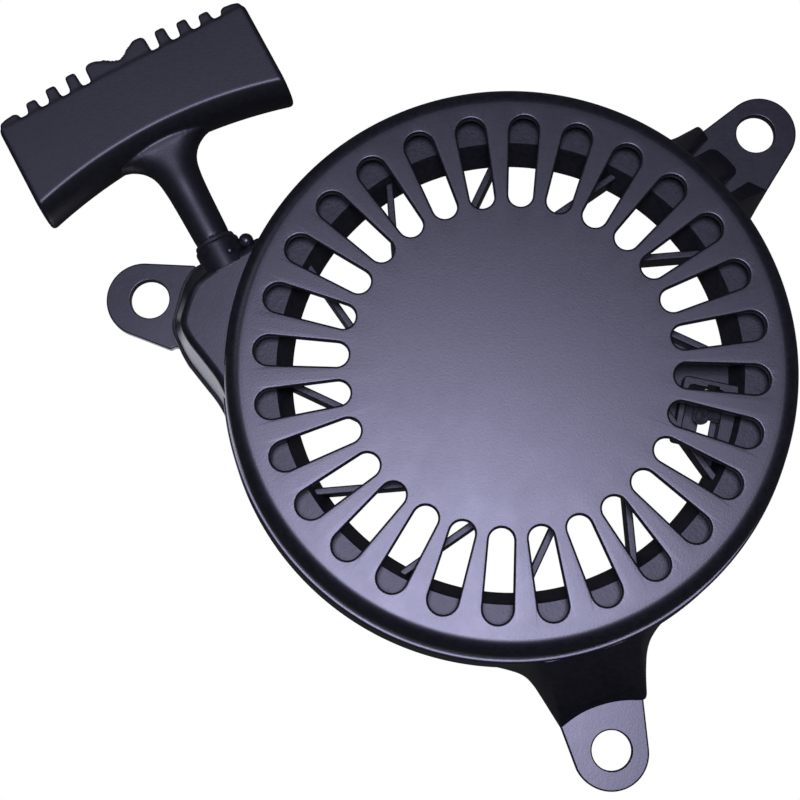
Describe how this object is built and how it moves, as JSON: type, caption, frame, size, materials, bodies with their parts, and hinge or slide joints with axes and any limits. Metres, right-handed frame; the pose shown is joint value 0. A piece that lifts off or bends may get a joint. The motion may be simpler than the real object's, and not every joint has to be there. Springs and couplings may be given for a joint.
{
  "type": "recoil starter",
  "caption": "Round recoil starter housing with a ring of radial slots, three mounting ears, a spoked rope reel inside and a T grip on its starter rope.",
  "frame": {"origin": "on the reel axis, in the plane of the undersides of the three mounting ears", "axes": "+Z along the reel axis towards the slotted plate; +X to the right and +Y up in the usual view of the plate, with the rope outlet at the upper left"},
  "size_m": [0.2661, 0.255, 0.05],
  "materials": {
    "housing_black": "satin black moulded plastic with a cool sheen",
    "reel_grey": "matte dark grey moulded nylon, lightly textured",
    "grip_black": "satin black moulded plastic",
    "nylon_black": "smooth black nylon",
    "rope_black": "braided synthetic rope",
    "spring_steel": "blued spring steel",
    "zinc_steel": "zinc-plated steel"
  },
  "bodies": {
    "housing": {"housing": "housing_black", "rope_eyelet": "nylon_black", "rope_lead": "rope_black", "post_sleeve": "zinc_steel", "friction_spring": "spring_steel", "screw_washer": "zinc_steel", "centre_screw": "zinc_steel"},
    "reel": {"reel": "reel_grey", "rope_winding": "rope_black", "rope_reel_knot": "rope_black", "recoil_spring": "spring_steel", "pawl_pin_a": "zinc_steel", "pawl_pin_b": "zinc_steel", "pawl_spring_a": "spring_steel", "pawl_spring_b": "spring_steel"},
    "guide": {"guide_plate": "nylon_black"},
    "pawl_a": {"pawl_a": "zinc_steel"},
    "pawl_b": {"pawl_b": "zinc_steel"},
    "grip": {"grip": "grip_black", "grip_insert": "zinc_steel", "rope_grip_end": "rope_black"}
  },
  "joints": [
    {"name": "reel_spin", "type": "hinge", "parent": "housing", "child": "reel", "pos_m": [0, 0, 0.0346], "axis": [0, 0, -1], "range_deg": [0, 650], "stiffness_Nm_per_rad": 0.09, "springref_deg": -286.48, "deforming": ["recoil_spring"]},
    {"name": "grip_pull", "type": "slide", "parent": "housing", "child": "grip", "axis": [-0.4726, 0.8813, 0], "range_m": [0, 0.904]},
    {"name": "guide_turn", "type": "hinge", "parent": "reel", "child": "guide", "pos_m": [0, 0, 0.0196], "axis": [0, 0, 1], "range_deg": [0, 30], "stiffness_Nm_per_rad": 0.02, "springref_deg": -22.92},
    {"name": "pawl_a_swing", "type": "hinge", "parent": "reel", "child": "pawl_a", "pos_m": [0.01838, 0.01543, 0.0233], "axis": [0, 0, 1], "range_deg": [0, 40]},
    {"name": "pawl_b_swing", "type": "hinge", "parent": "reel", "child": "pawl_b", "pos_m": [-0.01838, -0.01543, 0.0233], "axis": [0, 0, 1], "range_deg": [0, 40]}
  ],
  "couplings": [
    {"joint": "grip_pull", "follows": "reel_spin", "m_per_rad": 0.0796},
    {"joint": "pawl_a_swing", "follows": "guide_turn", "ratio": 1.3333},
    {"joint": "pawl_b_swing", "follows": "guide_turn", "ratio": 1.3333}
  ]
}
